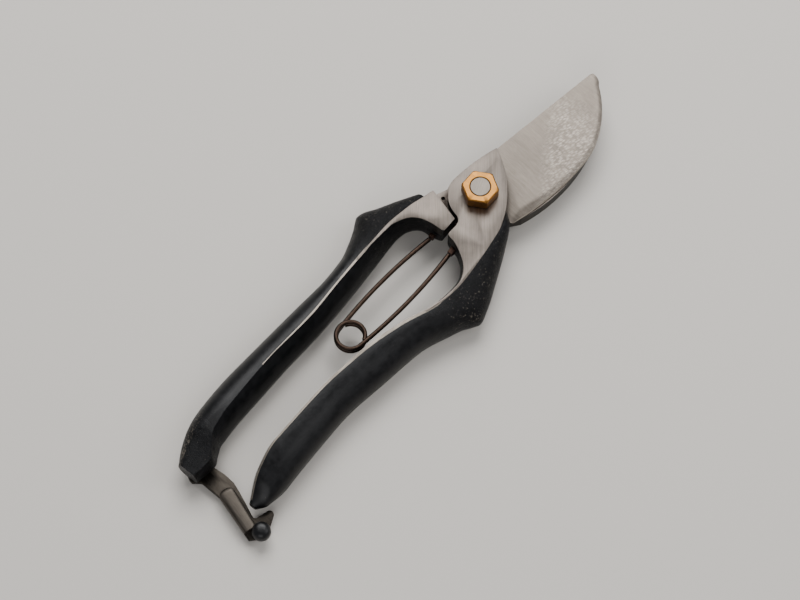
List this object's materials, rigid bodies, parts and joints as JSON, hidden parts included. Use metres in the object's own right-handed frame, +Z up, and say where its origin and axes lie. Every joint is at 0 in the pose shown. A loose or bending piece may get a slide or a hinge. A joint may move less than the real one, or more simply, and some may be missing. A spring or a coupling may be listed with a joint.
{
  "type": "bypass pruning shears",
  "caption": "Hand-forged bypass pruning shears with a curved blade over a hooked counter-blade, wire spring, brass pivot nut and swinging end latch.",
  "frame": {"origin": "on the pivot's axis, where it meets the plane the shears lie on", "axes": "+X from the pivot towards the blade's tip, +Y towards the left (hook half's) handle, +Z up along the pivot bolt to the brass nut"},
  "size_m": [0.2034, 0.0575, 0.0197],
  "materials": {
    "blade_steel": "finely ground, satin",
    "boss_steel": "brushed flat, satin",
    "dark_steel": "dark forged steel, ground on the working faces",
    "black_coat": "black lacquer over forged steel, satin",
    "brown_steel": "oil-blacked spring wire",
    "latch_steel": "rolled steel, dull",
    "brass": "satin, softened edges"
  },
  "bodies": {
    "hook_half": {"hook_plate": "dark_steel", "left_handle": "black_coat", "left_spring_seat": "brown_steel", "pivot_bolt": "boss_steel", "pivot_nut": "brass", "latch_rivet": "dark_steel"},
    "blade_half": {"blade": "blade_steel", "blade_boss": "boss_steel", "right_handle": "black_coat", "right_spring_seat": "brown_steel"},
    "latch": {"latch_lever": "latch_steel", "latch_knob": "black_coat"},
    "spring_left": {"spring_coil": "brown_steel"},
    "spring_right": {"spring_leg": "brown_steel"}
  },
  "joints": [
    {"name": "handle_open", "type": "hinge", "parent": "hook_half", "child": "blade_half", "pos_m": [0, 0, 0.0098], "axis": [0, 0, 1], "range_deg": [0, 28]},
    {"name": "latch_swing", "type": "hinge", "parent": "hook_half", "child": "latch", "pos_m": [-0.134, 0.0115, 0.002], "axis": [0, 0, -1], "range_deg": [0, 80]},
    {"name": "spring_swing", "type": "hinge", "parent": "hook_half", "child": "spring_left", "pos_m": [-0.0216, 0.0046, 0.0069], "axis": [0, 0, 1], "range_deg": [-0.5, 23]},
    {"name": "spring_spread", "type": "hinge", "parent": "spring_left", "child": "spring_right", "pos_m": [-0.0667, 0.0025, 0.0078], "axis": [0, 0, 1], "range_deg": [-14, 0.5]}
  ],
  "couplings": [
    {"joint": "spring_swing", "follows": "handle_open", "ratio": 0.818},
    {"joint": "spring_spread", "follows": "handle_open", "ratio": -0.486}
  ]
}
